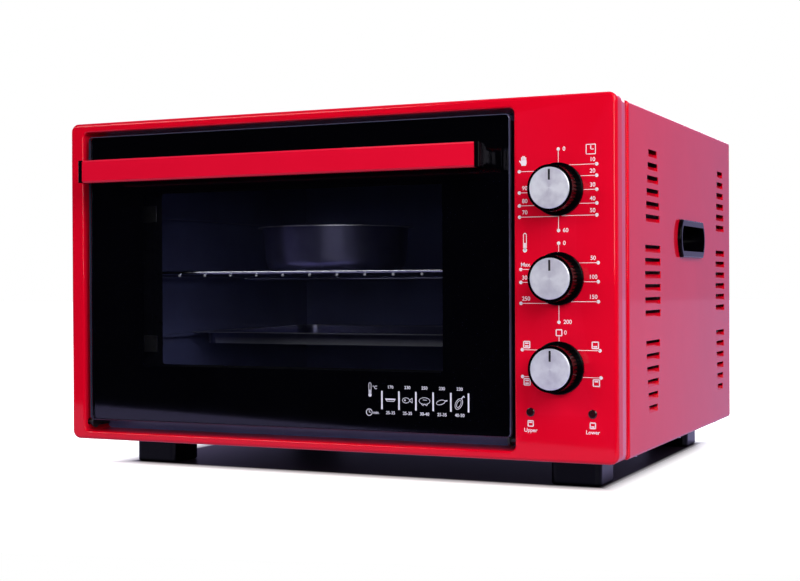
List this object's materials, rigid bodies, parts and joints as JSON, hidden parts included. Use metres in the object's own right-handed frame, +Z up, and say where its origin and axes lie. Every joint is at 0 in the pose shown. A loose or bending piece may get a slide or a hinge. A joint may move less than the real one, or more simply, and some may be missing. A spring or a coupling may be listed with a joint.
{
  "type": "mini oven",
  "caption": "Red mini oven with a drop-down double-glass door, a bar handle, rotary knobs, louvred sides, side grips, and a rack, pan and tray inside.",
  "frame": {"origin": "middle of the whole oven's footprint, on the surface that the feet stand on", "axes": "+X to the oven's right as seen from the front (the controls' side), +Y to the back, +Z up"},
  "size_m": [0.56, 0.498, 0.337],
  "materials": {
    "red_paint": "gloss",
    "handle_red": "gloss",
    "cavity_enamel": "satin",
    "black_enamel": "satin",
    "galvanised_sheet": "satin",
    "heater_sheath": "matte",
    "ceramic_white": "matte",
    "control_case": "matte",
    "black_plastic": "gloss",
    "foot_black": "satin",
    "pane_black": "gloss",
    "pane_clear": "gloss",
    "rack_chrome": "gloss",
    "pan_enamel": "gloss",
    "knob_metal": "brushed",
    "lamp_lens": "gloss",
    "fastener_steel": "satin",
    "dark_steel": "satin",
    "panel_ink": "satin",
    "lead_insulation": "matte"
  },
  "bodies": {
    "cabinet": {"front_frame": "red_paint", "outer_casing": "red_paint", "back_panel": "galvanised_sheet", "bottom_panel": "galvanised_sheet", "cavity_liner": "cavity_enamel", "liner_supports": "galvanised_sheet", "heat_shield": "galvanised_sheet", "upper_element": "heater_sheath", "lower_element": "heater_sheath", "element_clips": "fastener_steel", "element_insulators": "ceramic_white", "timer_unit": "control_case", "thermostat_unit": "control_case", "selector_unit": "control_case", "thermostat_sensor": "heater_sheath", "sensor_clips": "fastener_steel", "indicator_lamps": "lamp_lens", "terminal_block": "ceramic_white", "cord_gland": "foot_black", "wiring": "lead_insulation", "side_grip_right": "black_plastic", "side_grip_left": "black_plastic", "hinge_bracket_left": "dark_steel", "hinge_bracket_right": "dark_steel", "hinge_springs": "fastener_steel", "control_screws": "fastener_steel", "back_screws": "fastener_steel", "bottom_screws": "fastener_steel", "foot_screws": "fastener_steel", "foot_front_left": "foot_black", "foot_front_right": "foot_black", "foot_rear_left": "foot_black", "foot_rear_right": "foot_black"},
    "door": {"door_glass_outer": "pane_black", "door_frame": "black_enamel", "door_glass_inner": "pane_clear", "inner_glass_clips": "fastener_steel", "hinge_lug_left": "dark_steel", "hinge_lug_right": "dark_steel", "hinge_pins": "dark_steel", "hinge_screws": "dark_steel", "handle_grip": "handle_red", "handle_bracket_left": "black_plastic", "handle_bracket_right": "black_plastic", "handle_screws": "fastener_steel"},
    "rack": {"wire_rack": "rack_chrome"},
    "pan": {"round_pan": "pan_enamel"},
    "tray": {"baking_tray": "pan_enamel"},
    "timer_dial": {"timer_knob": "black_plastic", "timer_knob_cap": "knob_metal", "timer_shaft": "fastener_steel"},
    "thermostat_dial": {"thermostat_knob": "black_plastic", "thermostat_knob_cap": "knob_metal", "thermostat_shaft": "fastener_steel"},
    "selector_dial": {"selector_knob": "black_plastic", "selector_knob_cap": "knob_metal", "selector_shaft": "fastener_steel"}
  },
  "joints": [
    {"name": "door_hinge", "type": "hinge", "parent": "cabinet", "child": "door", "pos_m": [-0.0375, -0.208, 0.0435], "axis": [1, 0, 0], "range_deg": [0, 90], "stiffness_Nm_per_rad": 0.9, "springref_deg": -28.65, "deforming": ["hinge_springs"]},
    {"name": "rack_slide", "type": "slide", "parent": "cabinet", "child": "rack", "axis": [0, -1, 0], "range_m": [0, 0.18]},
    {"name": "tray_slide", "type": "slide", "parent": "cabinet", "child": "tray", "axis": [0, -1, 0], "range_m": [0, 0.12]},
    {"name": "pan_lift", "type": "slide", "parent": "rack", "child": "pan", "axis": [0, 0, 1], "range_m": [0, 0.035]},
    {"name": "timer_turn", "type": "hinge", "parent": "cabinet", "child": "timer_dial", "pos_m": [0.2267, -0.2395, 0.257], "axis": [0, 1, 0], "range_deg": [-60, 270]},
    {"name": "thermostat_turn", "type": "hinge", "parent": "cabinet", "child": "thermostat_dial", "pos_m": [0.2267, -0.2395, 0.182], "axis": [0, 1, 0], "range_deg": [0, 300]},
    {"name": "selector_turn", "type": "hinge", "parent": "cabinet", "child": "selector_dial", "pos_m": [0.2267, -0.2395, 0.107], "axis": [0, 1, 0], "range_deg": [0, 300]}
  ],
  "couplings": [
    {"joint": "rack_slide", "follows": "door_hinge", "m_per_rad": 0.11459},
    {"joint": "tray_slide", "follows": "door_hinge", "m_per_rad": 0.07639}
  ]
}
